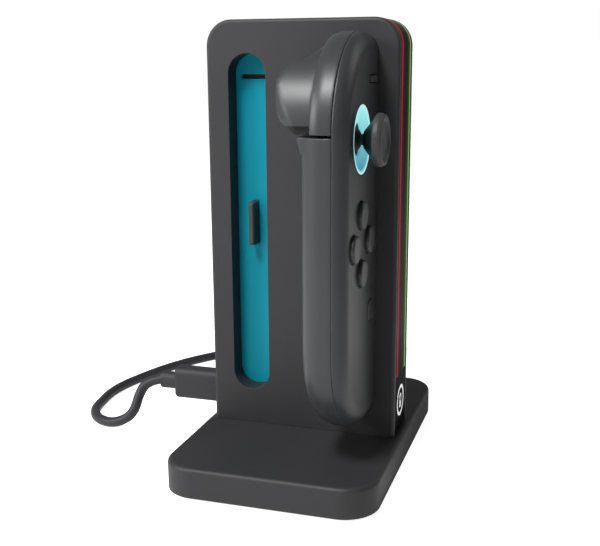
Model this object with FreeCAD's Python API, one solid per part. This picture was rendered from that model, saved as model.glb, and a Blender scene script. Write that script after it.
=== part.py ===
import FreeCAD, Part
import math
import os
from FreeCAD import Vector

# A charging stand for handheld-console controllers, in millimetres.
#
# A heavy rounded base carries an upright tower with four bays, two in front and
# two behind. The right front bay holds a left-hand controller by its rail edge.
# X runs along the front of the stand, Y from front to back and Z up. The origin
# is the middle of the stand's underside, on the surface that it rests on.

# Base
BASE_WIDTH = 64.0
BASE_DEPTH = 97.4
BASE_TOP = 9.6
BASE_CORNER = 10.4
BASE_EDGE = 1.4
BASE_WALL = 2.2
BASE_ROOF = 2.2
BASE_LIFT = 0.6
PLATE_THICK = 2.0
PLATE_GAP = 0.15
BOSS_RADIUS = 3.2
BOSS_INSET = 10.5
FOOT_RADIUS = 5.0
FOOT_THICK = 1.0
FOOT_GAP = 0.1
BASE_SCREW_RADIUS = 1.1
BASE_SCREW_LENGTH = 4.6
BASE_HEAD_RADIUS = 2.3
BASE_HEAD_THICK = 0.9
BALLAST_THICK = 2.4
BALLAST_GAP = 1.0

# Tower
TOWER_WIDTH = 59.2
TOWER_THICK = 19.0
TOWER_TOP = 135.3
TOWER_CORNER = 7.8
TOWER_EDGE = 1.0
FACE_THICK = 1.9
BAND_THICK = 1.6
SKIRT_THICK = 1.6
POST_RADIUS = 2.5
POST_WALL = 1.7
POST_HEIGHTS = (36.0, 75.0, 114.0)
FOOT_BLOCK_WIDTH = 34.0
FOOT_BLOCK_HEIGHT = 6.0
TOWER_SCREW_RADIUS = 1.25
TOWER_SCREW_LENGTH = 6.5
TOWER_HEAD_RADIUS = 2.4
TOWER_HEAD_THICK = 1.6
TOWER_SCREW_X = 12.0

# Light lines in the glossy band
LINE_Y = 5.5
LINE_WIDTH = 1.0
LINE_DEPTH = 0.9
LINE_START = 28.0
LINE_END_GAP = 1.2

# Charge mark on the right side of the band
MARK_HEIGHT = 18.7
MARK_RADIUS = 5.0
MARK_LINE = 1.05
MARK_DEPTH = 0.3

# Bays
BAY_X = 16.7
BAY_Z = 73.2
BAY_WIDTH = 11.8
BAY_LENGTH = 104.6
BAY_DEPTH = 6.5
BAY_WALL = 1.6
BAY_FLOOR = 1.2
TONGUE_THICK = 1.8
TONGUE_HEIGHT = 13.2
TONGUE_OUT = 4.8
TONGUE_Z = 74.0
TONGUE_GAP = 0.15
TONGUE_FOOT_HALF = 2.6
TONGUE_FOOT_REACH = 1.5
CONTACT_WIDTH = 0.7
CONTACT_PITCH = 1.3
CONTACT_COUNT = 8
CONTACT_DEPTH = 0.2
KEY_SLOT_Z = 118.7
KEY_SLOT_WIDTH = 8.4
KEY_SLOT_HEIGHT = 1.45
MAGNET_WIDTH = 8.0
MAGNET_HEIGHT = 12.0
MAGNET_OFFSET = 32.0

# Boards in the tower
BOARD_THICK = 1.6
BOARD_GAP = 1.4
BOARD_BOTTOM = 17.0
LED_SIZE = 1.6

# Charging port in the left side, and its plug
PORT_Z = 17.45
PORT_WIDE = 8.94
PORT_THIN = 3.26
PORT_WALL = 0.3
PORT_LENGTH = 7.4
PORT_INSET = 0.2
PLUG_WIDE = 8.25
PLUG_THIN = 2.4
PLUG_WALL = 0.3
PLUG_INSERT = 6.2
PLUG_BODY_TALL = 10.7
PLUG_BODY_THICK = 6.6
PLUG_BODY_LENGTH = 17.0
PLUG_BODY_ROUND = 2.2
PLUG_GAP = 0.6

# Cord
CORD_DIAMETER = 3.4
RELIEF_LENGTH = 6.0
RELIEF_TALL = 5.8
RELIEF_THICK = 4.8
RELIEF_ROUND = 0.8
COIL_CENTRE = (-34.0, 75.6)
COIL_RADIUS = 19.6
COIL_TURNS_WIDE = 3
COIL_LAYERS = 2
TIE_WIDTH = 5.0
TIE_THICK = 0.5
USB_A_BODY = (16.0, 15.4, 7.4)
USB_A_SHELL = (12.0, 12.0, 4.5)
USB_A_WALL = 0.4

# Controller
PAD_HEIGHT = 113.8
PAD_RISE = 1.1
PAD_WIDTH = 35.6
PAD_THICK = 13.4
PAD_GAP = 0.3
PAD_CORNER = 28.0
PAD_INNER_CORNER = 5.0
PAD_BACK_ROUND = 6.5
PAD_FRONT_ROUND = 5.0
PAD_WALL = 1.5
PAD_SEAM = 3.8
SEAM_LINE = 0.1
GRIP_TOP = 103.7
FLARE_OUT = 1.0
FLARE_TALL = 4.5
RAIL_WIDTH = 11.2
RAIL_LENGTH = 104.0
RAIL_FLOOR_GAP = 0.4
RAIL_WALL = 1.2
RAIL_NECK = 10.4
RAIL_NECK_DEPTH = 0.8
NECK_GAP = 0.3
SOCKET_GAP = 0.3

# Controller buttons
BUTTON_GAP = 0.25
FLANGE = 0.8
FLANGE_THICK = 0.9
STICK_Y = -27.8
STICK_Z = 102.3
CROSS_Y = -28.2
CROSS_Z = 73.5
CROSS_STEP = 8.2
CROSS_RADIUS = 3.85
CROSS_PROUD = 1.2
CROSS_TRAVEL = 0.7
MINUS_Y = -16.2
MINUS_Z = 118.3
MINUS_SIZE = (7.6, 1.8)
MINUS_PROUD = 0.5
CAPTURE_Y = -16.4
CAPTURE_Z = 52.0
CAPTURE_SIZE = 6.0
CAPTURE_PROUD = 0.25
SIDE_BUTTON_SIZE = (5.0, 17.0)
SIDE_BUTTON_OFFSET = 28.0
SYNC_RADIUS = 1.5
SYNC_OFFSET = 13.0
LIGHT_SIZE = 1.2
LIGHT_PITCH = 2.3
LIGHT_START = 10.2
LIGHT_COUNT = 4
RELEASE_SIZE = (5.0, 8.0)
RELEASE_Y = -17.0
RELEASE_Z = 92.0
RELEASE_PROUD = 0.8
RELEASE_DEEP = 3.0

# Stick
RING_RADIUS = 9.4
RING_HOLE = 4.7
RING_DISH = 1.2
PIVOT_DEPTH = 4.4
BALL_RADIUS = 1.7
SHAFT_RADIUS = 1.9
YOKE_INNER = 2.3
YOKE_OUTER = 3.2
YOKE_THICK = 1.4
TRUNNION_RADIUS = 0.5
TRUNNION_GAP = 0.05
BOOT_RADIUS = 4.3
BOOT_WALL = 0.6
BOOT_START = 2.1
FRAME_INNER = 4.7
FRAME_OUTER = 5.8
FRAME_THICK = 2.6
HOUSING_OUTER = 7.5
HOUSING_WALL = 1.2
HOUSING_FLOOR = 0.4
HOUSING_HOLE = 3.5
CAP_RADIUS = 7.2
CAP_TOP_OUT = 6.5
CAP_NECK = 2.5
CAP_NECK_OUT = 0.7
CAP_CLEAR = 0.15
STICK_LEAN = 17.0
STICK_CLICK = 0.4

# Inside the controller
MAIN_X = 15.7
MAIN_THICK = 1.0
MAIN_INSET = 9.5
MAIN_INNER = -19.0
PAD_SCREWS = ((-16.0, 24.0), (-15.0, 108.0), (-38.3, 44.0), (-38.3, 92.0))
BATTERY_Y = (-37.5, -21.0)
BATTERY_Z = (52.0, 86.0)
BATTERY_X = 11.8
MOTOR_Y = (-35.0, -20.0)
MOTOR_Z = (31.0, 47.0)
MOTOR_X = 11.9

# Shoulder button and trigger
SHOULDER_X = 13.5
SHOULDER_SKIN = 0.9
SHOULDER_RIB = 2.0
SHOULDER_END = -18.8
SLIT = 0.8
TRIGGER_TUCK = 2.6
TRIGGER_LIP = 1.5
TRIGGER_WALL = 1.5
TRIGGER_TIP = 1.9
TRIGGER_CORNER = 9.0
TRIGGER_PIVOT = (13.2, 121.5)
PIN_RADIUS = 0.8
PIN_GAP = 0.06
PIN_OUTER = -33.2

# Worked out from the driving dimensions
BASE_HALF_X = BASE_WIDTH / 2
BASE_HALF_Y = BASE_DEPTH / 2
TOWER_HALF = TOWER_WIDTH / 2
FACE_Y = TOWER_THICK / 2
BAND_Y = FACE_Y - FACE_THICK
FLOOR_Y = FACE_Y - BAY_DEPTH
FLOOR_BACK = FLOOR_Y - BAY_FLOOR
BOARD_Y = BOARD_THICK / 2
PAD_BACK = BAY_X - PAD_THICK / 2
PAD_FRONT = BAY_X + PAD_THICK / 2
PAD_INNER = -FACE_Y - PAD_GAP
PAD_OUTER = PAD_INNER - PAD_WIDTH
PAD_BOTTOM = BAY_Z + PAD_RISE - PAD_HEIGHT / 2
PAD_TOP = BAY_Z + PAD_RISE + PAD_HEIGHT / 2
SEAM_X = PAD_FRONT - PAD_SEAM
FRONT_WALL = PAD_FRONT - PAD_WALL + 0.1
PIVOT_X = PAD_FRONT - PIVOT_DEPTH
NECK_Y = PAD_INNER - PAD_WALL - RAIL_NECK_DEPTH
TINY = 1e-4

os.makedirs("parts", exist_ok=True)


# ---------------------------------------------------------------- helpers


def save(name, *solids):
    """Writes one node's STEP file."""
    shape = solids[0] if len(solids) == 1 else Part.makeCompound(list(solids))
    if not shape.isValid() or not shape.Solids:
        raise ValueError(f"{name} isn't a valid solid")
    shape.exportStep(f"parts/{name}.step")
    print(f"{name}: {len(shape.Solids)} solid(s), {shape.Volume:.1f} mm3")


def box(x, y, z):
    """A box from three (low, high) spans."""
    low = Vector(x[0], y[0], z[0])
    return Part.makeBox(x[1] - x[0], y[1] - y[0], z[1] - z[0], low)


def rod(axis, radius, span, a, b):
    """A cylinder along an axis. a and b place it on the other two, in order."""
    low, high = span
    start = {"X": Vector(low, a, b), "Y": Vector(a, low, b), "Z": Vector(a, b, low)}
    way = {"X": Vector(1, 0, 0), "Y": Vector(0, 1, 0), "Z": Vector(0, 0, 1)}
    return Part.makeCylinder(radius, high - low, start[axis], way[axis])


def spot(plane, u, v, w):
    """The point at u, v in a plane that lies w along the third axis."""
    return {"XY": Vector(u, v, w), "XZ": Vector(u, w, v), "YZ": Vector(w, u, v)}[plane]


def raise_face(plane, wire, depth):
    """A solid from a closed outline, pushed along the plane's third axis."""
    return Part.Face(wire).extrude(spot(plane, 0, 0, depth))


def rounded(plane, u, v, w, radii):
    """A rounded rectangle pushed from w[0] to w[1].

    radii are those of the corners (low u, low v), (high u, low v), (high u,
    high v) and (low u, high v).
    """
    corners = [(u[0], v[0], 1, 1), (u[1], v[0], -1, 1), (u[1], v[1], -1, -1), (u[0], v[1], 1, -1)]
    bend = 1 - math.sqrt(0.5)
    stops = []
    for number, ((a, b, side_a, side_b), radius) in enumerate(zip(corners, radii)):
        along_u = spot(plane, a + side_a * radius, b, w[0])
        along_v = spot(plane, a, b + side_b * radius, w[0])
        middle = spot(plane, a + side_a * radius * bend, b + side_b * radius * bend, w[0])
        first, last = (along_v, along_u) if number % 2 == 0 else (along_u, along_v)
        stops.append((first, middle, last, radius))
    edges = []
    for number, (first, middle, last, radius) in enumerate(stops):
        if radius > TINY:
            edges.append(Part.Arc(first, middle, last).toShape())
        following = stops[(number + 1) % len(stops)][0]
        if last.distanceToPoint(following) > TINY:
            edges.append(Part.LineSegment(last, following).toShape())
    return raise_face(plane, Part.Wire(edges), w[1] - w[0])


def pill(plane, middle, size, w):
    """A stadium of size (width, length), its length along the plane's second axis."""
    u, v = middle
    width, length = size
    half = width / 2
    return rounded(
        plane, (u - half, u + half), (v - length / 2, v + length / 2), w, [half] * 4
    )


def round_edges(shape, radius, chosen):
    """The shape with a fillet on each edge that chosen picks by its box."""
    edges = [edge for edge in shape.Edges if chosen(edge.BoundBox)]
    return shape.makeFillet(radius, edges)


def flat_at(low, high, value):
    """Whether a span lies at one value."""
    return abs(low - value) < TINY * 10 and abs(high - value) < TINY * 10


def mirrored_y(shape):
    return shape.mirror(Vector(0, 0, 0), Vector(0, 1, 0))


def mirrored_x(shape):
    return shape.mirror(Vector(0, 0, 0), Vector(1, 0, 0))


def four_ways(shape):
    """The shape and its copies in the other three quarters."""
    front = [shape, mirrored_x(shape)]
    return front + [mirrored_y(one) for one in front]


def join(first, *others):
    """One solid of several that overlap or touch."""
    for other in others:
        first = first.fuse(other)
    return first.removeSplitter()


# ---------------------------------------------------------------- base


def base_bosses():
    """The places of the four screws that hold the plate to the cover."""
    x = BASE_HALF_X - BOSS_INSET
    y = BASE_HALF_Y - BOSS_INSET
    return [(side_x * x, side_y * y) for side_x in (-1, 1) for side_y in (-1, 1)]


def tower_screw_places():
    y = (FACE_Y - FACE_THICK) / 2
    return [(x, side * y) for x in (-TOWER_SCREW_X, TOWER_SCREW_X) for side in (-1, 1)]


def base_block(inset, low, high):
    corner = BASE_CORNER - inset
    return rounded(
        "XY",
        (-BASE_HALF_X + inset, BASE_HALF_X - inset),
        (-BASE_HALF_Y + inset, BASE_HALF_Y - inset),
        (low, high),
        [corner] * 4,
    )


def base_cover():
    """The moulded cover: four walls and a roof, open below, with screw bosses."""
    cover = base_block(0, BASE_LIFT, BASE_TOP)
    cover = round_edges(cover, BASE_EDGE, lambda b: flat_at(b.ZMin, b.ZMax, BASE_TOP))
    cover = cover.cut(base_block(BASE_WALL, 0, BASE_TOP - BASE_ROOF))
    for x, y in base_bosses():
        boss = rod("Z", BOSS_RADIUS, (BASE_LIFT + PLATE_THICK, BASE_TOP - BASE_ROOF), x, y)
        cover = cover.fuse(boss)
        hole = (BASE_LIFT, BASE_LIFT + PLATE_THICK + BASE_SCREW_LENGTH)
        cover = cover.cut(rod("Z", BASE_SCREW_RADIUS, hole, x, y))
    for x, y in tower_screw_places():
        hole = (BASE_TOP - BASE_ROOF - 1, BASE_TOP + 1)
        cover = cover.cut(rod("Z", TOWER_SCREW_RADIUS + 0.15, hole, x, y))
    return cover


def head_top():
    return FOOT_THICK + BASE_HEAD_THICK


def base_plate():
    """The plate that closes the base, with recesses for the feet and screw heads."""
    plate = base_block(BASE_WALL + PLATE_GAP, BASE_LIFT, BASE_LIFT + PLATE_THICK)
    for x, y in base_bosses():
        plate = plate.cut(rod("Z", FOOT_RADIUS + FOOT_GAP, (0, FOOT_THICK), x, y))
        plate = plate.cut(rod("Z", BASE_HEAD_RADIUS + 0.1, (0, head_top()), x, y))
        plate = plate.cut(rod("Z", BASE_SCREW_RADIUS + 0.1, (0, BASE_LIFT + PLATE_THICK), x, y))
    return plate


def base_screws():
    screws = []
    for x, y in base_bosses():
        head = rod("Z", BASE_HEAD_RADIUS, (FOOT_THICK, head_top()), x, y)
        tip = BASE_LIFT + PLATE_THICK + BASE_SCREW_LENGTH - 0.3
        screws.append(head.fuse(rod("Z", BASE_SCREW_RADIUS, (head_top(), tip), x, y)))
    return screws


def feet():
    """Four rubber feet, which cover the screws."""
    pads = []
    for x, y in base_bosses():
        pad = rod("Z", FOOT_RADIUS, (0, FOOT_THICK), x, y)
        pads.append(round_edges(pad, 0.3, lambda b: flat_at(b.ZMin, b.ZMax, 0)))
    return pads


def ballast():
    """The steel weight that keeps the stand from tipping."""
    half_x = BASE_HALF_X - BOSS_INSET - BOSS_RADIUS - BALLAST_GAP
    half_y = BASE_HALF_Y - BASE_WALL - BALLAST_GAP
    low = BASE_LIFT + PLATE_THICK
    return rounded(
        "XY", (-half_x, half_x), (-half_y, half_y), (low, low + BALLAST_THICK), [2.0] * 4
    )


# ---------------------------------------------------------------- tower


def tower_block(inset, low, high):
    """The tower's outline, square at the base and round at the top, pushed along Y."""
    corner = TOWER_CORNER - inset
    return rounded(
        "XZ",
        (-TOWER_HALF + inset, TOWER_HALF - inset),
        (BASE_TOP, TOWER_TOP - inset),
        (low, high),
        [0, 0, corner, corner],
    )


def bay_hole(grow, low, high):
    """The right front bay's outline, pushed along Y."""
    size = (BAY_WIDTH + 2 * grow, BAY_LENGTH + 2 * grow)
    return pill("XZ", (BAY_X, BAY_Z), size, (low, high))


def front_panel():
    """The front moulding: face, inner skirt, two bay tubes and three posts."""
    panel = tower_block(0, -FACE_Y, -BAND_Y)
    panel = round_edges(
        panel,
        TOWER_EDGE,
        lambda b: flat_at(b.YMin, b.YMax, -FACE_Y) and b.ZMax > BASE_TOP + 1,
    )
    skirt = tower_block(BAND_THICK, -BAND_Y, 0)
    hollow = tower_block(BAND_THICK + SKIRT_THICK, -BAND_Y, 0)
    panel = panel.fuse(skirt.cut(hollow))
    for side in (bay_hole, lambda *span: mirrored_x(bay_hole(*span))):
        panel = panel.fuse(side(BAY_WALL, -BAND_Y, -FLOOR_Y))
        panel = panel.cut(side(0, -FACE_Y - 1, -FLOOR_Y))
    for z in POST_HEIGHTS:
        panel = panel.fuse(rod("Y", POST_RADIUS, (-BAND_Y, BAND_Y - POST_WALL), 0, z))
    return port_relief(panel).removeSplitter()


def rear_panel():
    """The rear moulding, which takes the front one's posts in three bosses."""
    panel = mirrored_y(front_panel())
    for z in POST_HEIGHTS:
        panel = panel.cut(rod("Y", POST_RADIUS, (-BAND_Y - 1, BAND_Y), 0, z))
        boss = rod("Y", POST_RADIUS + POST_WALL, (BOARD_Y, BAND_Y), 0, z)
        panel = panel.fuse(boss)
        panel = panel.cut(rod("Y", POST_RADIUS, (BOARD_Y - 1, BAND_Y - POST_WALL), 0, z))
    return panel.removeSplitter()


def port_relief(shape):
    """The shape with a way through its left side for the charging port."""
    left = -TOWER_HALF
    size = (PORT_THIN + 0.4, PORT_WIDE + 0.4)
    return shape.cut(pill("YZ", (0, PORT_Z), size, (left - 1, left + PORT_LENGTH + 1)))


def light_lines(grow):
    """The four light lines: front right, front left, and the two behind them."""
    low = LINE_Y - LINE_WIDTH / 2
    high = LINE_Y + LINE_WIDTH / 2
    strip = tower_block(0, -high, -low).cut(tower_block(LINE_DEPTH, -high, -low))
    reach = TOWER_HALF + 1
    right = strip.common(
        box((LINE_END_GAP - grow, reach), (-high, -low), (LINE_START - grow, TOWER_TOP + 1))
    )
    return four_ways(right)


def side_band():
    """The glossy band between the two faces, over both sides and the top."""
    band = tower_block(0, -BAND_Y, BAND_Y).cut(tower_block(BAND_THICK, -BAND_Y, BAND_Y))
    for line in light_lines(0):
        band = band.cut(line)
    band = port_relief(band)
    for piece in charge_mark():
        band = band.cut(piece)
    return band


def charge_mark():
    """A ring with an upright battery sign inside, let into the right side."""
    span = (TOWER_HALF - MARK_DEPTH, TOWER_HALF)
    z = MARK_HEIGHT
    ring = rod("X", MARK_RADIUS, span, 0, z).cut(rod("X", MARK_RADIUS - MARK_LINE, span, 0, z))
    half, tall = 1.3, 2.3
    line = MARK_LINE * 0.55
    case = box(span, (-half, half), (z - tall, z + tall * 0.8))
    case = case.cut(
        box(span, (-half + line, half - line), (z - tall + line, z + tall * 0.8 - line))
    )
    terminal = box(span, (-half * 0.4, half * 0.4), (z + tall * 0.8, z + tall))
    level = box(
        span, (-half + line + 0.25, half - line - 0.25), (z - tall + line + 0.25, z - 0.3)
    )
    return [ring, case.fuse(terminal), level]


def tower_foot():
    """The block inside the tower that the screws from the base pull down."""
    half = FOOT_BLOCK_WIDTH / 2
    block = box((-half, half), (-BAND_Y, BAND_Y), (BASE_TOP, BASE_TOP + FOOT_BLOCK_HEIGHT))
    for x, y in tower_screw_places():
        hole = (BASE_TOP - 1, BASE_TOP + TOWER_SCREW_LENGTH - BASE_ROOF + 0.3)
        block = block.cut(rod("Z", TOWER_SCREW_RADIUS, hole, x, y))
    return block


def tower_screws():
    under = BASE_TOP - BASE_ROOF
    screws = []
    for x, y in tower_screw_places():
        head = rod("Z", TOWER_HEAD_RADIUS, (under - TOWER_HEAD_THICK, under), x, y)
        shank = rod("Z", TOWER_SCREW_RADIUS, (under, under + TOWER_SCREW_LENGTH), x, y)
        screws.append(head.fuse(shank))
    return screws


def bay_floor():
    """The coloured floor of the right front bay, with its two openings."""
    floor = bay_hole(BAY_WALL, -FLOOR_Y, -FLOOR_BACK)
    half = TONGUE_THICK / 2 + TONGUE_GAP
    tall = TONGUE_HEIGHT / 2 + TONGUE_GAP
    floor = floor.cut(
        box((BAY_X - half, BAY_X + half), (-FLOOR_Y, -FLOOR_BACK), (TONGUE_Z - tall, TONGUE_Z + tall))
    )
    half = KEY_SLOT_WIDTH / 2
    return floor.cut(
        box(
            (BAY_X - half, BAY_X + half),
            (-FLOOR_Y, -FLOOR_BACK),
            (KEY_SLOT_Z - KEY_SLOT_HEIGHT / 2, KEY_SLOT_Z + KEY_SLOT_HEIGHT / 2),
        )
    )


def contact_spans():
    """Where the gold strips lie along the tongue."""
    first = TONGUE_Z - CONTACT_PITCH * (CONTACT_COUNT - 1) / 2
    for number in range(CONTACT_COUNT):
        middle = first + number * CONTACT_PITCH
        yield (middle - CONTACT_WIDTH / 2, middle + CONTACT_WIDTH / 2)


def bay_contacts():
    """The gold strips on the outer side of the right front bay's tongue."""
    tip = -FLOOR_Y - TONGUE_OUT + 0.8
    face = BAY_X + TONGUE_THICK / 2
    return [box((face - CONTACT_DEPTH, face), (tip, -FLOOR_Y - 0.4), z) for z in contact_spans()]


def bay_tongue():
    """The connector tongue of the right front bay, on its foot on the board."""
    half = TONGUE_THICK / 2
    tall = TONGUE_HEIGHT / 2
    tongue = box(
        (BAY_X - half, BAY_X + half),
        (-FLOOR_Y - TONGUE_OUT, -BOARD_Y),
        (TONGUE_Z - tall, TONGUE_Z + tall),
    )
    tip = -FLOOR_Y - TONGUE_OUT
    tongue = tongue.makeChamfer(
        0.45, [edge for edge in tongue.Edges if flat_at(edge.BoundBox.YMin, edge.BoundBox.YMax, tip)]
    )
    foot_tall = tall + TONGUE_FOOT_REACH
    foot = box(
        (BAY_X - TONGUE_FOOT_HALF, BAY_X + TONGUE_FOOT_HALF),
        (-FLOOR_BACK, -BOARD_Y),
        (TONGUE_Z - foot_tall, TONGUE_Z + foot_tall),
    )
    tongue = tongue.fuse(foot)
    for strip in bay_contacts():
        tongue = tongue.cut(strip)
    return tongue


def bay_magnets():
    """Two flat magnets behind the right front bay's floor."""
    half = MAGNET_WIDTH / 2
    magnets = []
    for side in (-1, 1):
        z = BAY_Z + side * MAGNET_OFFSET
        magnets.append(
            box(
                (BAY_X - half, BAY_X + half),
                (-FLOOR_BACK, -BOARD_Y),
                (z - MAGNET_HEIGHT / 2, z + MAGNET_HEIGHT / 2),
            )
        )
    return magnets


def main_board():
    """The upright board that carries the tongues, the port and the lights."""
    half = TOWER_HALF - BAND_THICK - SKIRT_THICK - BOARD_GAP
    top = TOWER_TOP - BAND_THICK - SKIRT_THICK - BOARD_GAP
    board = box((-half, half), (-BOARD_Y, BOARD_Y), (BOARD_BOTTOM, top))
    tab = box((-half, -FOOT_BLOCK_WIDTH / 2 - 1), (-BOARD_Y, BOARD_Y), (BASE_TOP + 1.5, BOARD_BOTTOM))
    board = board.fuse(tab)
    for z in POST_HEIGHTS:
        board = board.cut(rod("Y", POST_RADIUS + 0.2, (-2, 2), 0, z))
    left = -TOWER_HALF
    half_wide = PORT_WIDE / 2
    way = box(
        (left, left + PORT_INSET + PORT_LENGTH), (-2, 2), (PORT_Z - half_wide, PORT_Z + half_wide)
    )
    return board.cut(way).removeSplitter()


def board_parts():
    """The charge controller, its coil and its capacitors, between the bays."""
    face = -BOARD_Y
    chip = box((-4, 4), (face - 1.0, face), (51, 59))
    inductor = box((-3.5, 3.5), (face - 2.8, face), (88, 95))
    capacitors = [box((x, x + 1.6), (face - 0.9, face), (63, 66)) for x in (-4, -0.8, 2.4)]
    return [chip, inductor, *capacitors]


def status_leds():
    """One small lamp at the foot of each light line."""
    x = TOWER_HALF - BAND_THICK - SKIRT_THICK - BOARD_GAP - LED_SIZE
    lamp = box(
        (x, x + LED_SIZE), (-BOARD_Y - 0.7, -BOARD_Y), (LINE_START, LINE_START + LED_SIZE)
    )
    return four_ways(lamp)


def usb_port():
    """The port's metal shell with its inner tongue, mouth to the left."""
    mouth = -TOWER_HALF + PORT_INSET
    back = mouth + PORT_LENGTH
    shell = pill("YZ", (0, PORT_Z), (PORT_THIN, PORT_WIDE), (mouth, back))
    inner = (PORT_THIN - 2 * PORT_WALL, PORT_WIDE - 2 * PORT_WALL)
    shell = shell.cut(pill("YZ", (0, PORT_Z), inner, (mouth - 1, back - 0.6)))
    tongue = box((back - 5.0, back - 0.3), (-0.35, 0.35), (PORT_Z - 3.35, PORT_Z + 3.35))
    return shell.fuse(tongue)


# ---------------------------------------------------------------- cord


def plug_shell():
    """The plug's metal sleeve, home in the port."""
    outside = -TOWER_HALF - PLUG_GAP
    tip = -TOWER_HALF + PORT_INSET + PLUG_INSERT
    sleeve = pill("YZ", (0, PORT_Z), (PLUG_THIN, PLUG_WIDE), (outside, tip))
    inner = (PLUG_THIN - 2 * PLUG_WALL, PLUG_WIDE - 2 * PLUG_WALL)
    return sleeve.cut(pill("YZ", (0, PORT_Z), inner, (outside + 1.5, tip + 1)))


def plug_body():
    """The moulded grip of the plug, in one piece with its strain relief."""
    right = -TOWER_HALF - PLUG_GAP
    body = rounded(
        "YZ",
        (-PLUG_BODY_THICK / 2, PLUG_BODY_THICK / 2),
        (PORT_Z - PLUG_BODY_TALL / 2, PORT_Z + PLUG_BODY_TALL / 2),
        (right - PLUG_BODY_LENGTH, right),
        [PLUG_BODY_ROUND] * 4,
    )
    body = round_edges(body, 0.8, lambda b: b.XMax - b.XMin < TINY * 10)
    return body.fuse(relief(right - PLUG_BODY_LENGTH, -1, 0, PORT_Z))


def relief(x, side, y, z):
    """A plug's strain relief: a plain stub with a soft end, to one side of x."""
    size = (RELIEF_THICK, RELIEF_TALL)
    end = x + side * RELIEF_LENGTH
    stub = pill("YZ", (y, z), size, sorted((x, end)))
    return round_edges(stub, RELIEF_ROUND, lambda b: flat_at(b.XMin, b.XMax, end))


def cord_start():
    return Vector(-TOWER_HALF - PLUG_GAP - PLUG_BODY_LENGTH - RELIEF_LENGTH, 0, PORT_Z)


def cord_route():
    """The cord from the plug down to the surface, and round the stand to the coil."""
    lie = CORD_DIAMETER / 2
    return [
        cord_start(),
        Vector(-57.9, -0.7, 16.5),
        Vector(-60.7, -2.4, 12.8),
        Vector(-61.6, -5.8, 5.6),
        Vector(-68.6, -6.6, 1.9),
        Vector(-76.4, -4.2, lie),
        Vector(-81.9, 2.7, lie),
        Vector(-83.8, 10.7, lie),
        Vector(-85.9, 25.1, lie),
        Vector(-81.9, 42.4, lie),
        Vector(-76.0, 58.6, lie),
        Vector(-66.8, 73.2, lie),
        Vector(-58.3, 82.6, lie),
        Vector(-51.2, 89.4, lie),
    ]


def tube(points, radius, name):
    """A round cord: straight runs joined by arcs as large as the runs allow."""
    edges = []
    begin = points[0]
    length = 0.0
    for number in range(1, len(points) - 1):
        before, corner, after = points[number - 1 : number + 2]
        back = before - corner
        ahead = after - corner
        turn = math.pi - back.getAngle(ahead)
        reach = 0.45 * min(back.Length, ahead.Length)
        bend = reach / math.tan(turn / 2)
        print(f"{name} bend {number}: radius {bend:.1f}, turn {math.degrees(turn):.0f} degrees")
        back.normalize()
        ahead.normalize()
        first = corner + back * reach
        last = corner + ahead * reach
        inward = (back + ahead).normalize()
        middle = corner + inward * (bend / math.cos(turn / 2) - bend)
        edges.append(Part.LineSegment(begin, first).toShape())
        edges.append(Part.Arc(first, middle, last).toShape())
        length += begin.distanceToPoint(first) + bend * turn
        begin = last
    edges.append(Part.LineSegment(begin, points[-1]).toShape())
    length += begin.distanceToPoint(points[-1])
    path = Part.Wire(edges)
    way = (points[1] - points[0]).normalize()
    section = Part.Wire([Part.makeCircle(radius, points[0], way)])
    solid = path.makePipeShell([section], True, True)
    expected = math.pi * radius**2 * length
    print(f"{name}: length {length:.1f} mm, volume {solid.Volume:.1f}, expected {expected:.1f}")
    return solid


def coil():
    """The rest of the cord, wound flat: one ring of the coil's outer shape."""
    x, y = COIL_CENTRE
    half = CORD_DIAMETER * COIL_TURNS_WIDE / 2
    span = (0, CORD_DIAMETER * COIL_LAYERS)
    ring = rod("Z", COIL_RADIUS + half, span, x, y)
    ring = ring.cut(rod("Z", COIL_RADIUS - half, span, x, y))
    return round_edges(ring, 1.2, lambda b: flat_at(b.ZMin, b.ZMax, b.ZMin))


def cord_tail_route():
    """The far end of the cord, from the coil to its big plug."""
    lie = USB_A_BODY[2] / 2
    x, y = COIL_CENTRE
    upper = CORD_DIAMETER * (COIL_LAYERS - 0.5)
    return [
        Vector(x - 6.0, y + 22.2, upper),
        Vector(x + 1.0, y + 25.0, upper - 0.5),
        Vector(x + 9.5, y + 28.4, lie),
    ]


def big_plug():
    """The far end's grip with its strain relief, and its metal shell, lying flat."""
    start = cord_tail_route()[-1]
    left = start.x + RELIEF_LENGTH
    length, wide, tall = USB_A_BODY
    body = rounded(
        "YZ", (start.y - wide / 2, start.y + wide / 2), (0, tall), (left, left + length), [2.0] * 4
    )
    body = round_edges(body, 0.8, lambda b: b.XMax - b.XMin < TINY * 10)
    body = body.fuse(relief(left, -1, start.y, start.z))
    left += length
    length, wide, thin = USB_A_SHELL
    middle = USB_A_BODY[2] / 2
    shell = box(
        (left, left + length),
        (start.y - wide / 2, start.y + wide / 2),
        (middle - thin / 2, middle + thin / 2),
    )
    wall = USB_A_WALL
    shell = shell.cut(
        box(
            (left + 1, left + length + 1),
            (start.y - wide / 2 + wall, start.y + wide / 2 - wall),
            (middle - thin / 2 + wall, middle + thin / 2 - wall),
        )
    )
    return body, shell


def cord_tie():
    """The strap that keeps the coil together, at its left side."""
    x, y = COIL_CENTRE
    half = CORD_DIAMETER * COIL_TURNS_WIDE / 2
    low, high = x - COIL_RADIUS - half, x - COIL_RADIUS + half
    top = CORD_DIAMETER * COIL_LAYERS
    span = (y - TIE_WIDTH / 2, y + TIE_WIDTH / 2)
    loop = box((low - TIE_THICK, high + TIE_THICK), span, (0, top + TIE_THICK))
    return loop.cut(coil())


# ---------------------------------------------------------------- controller body


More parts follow.
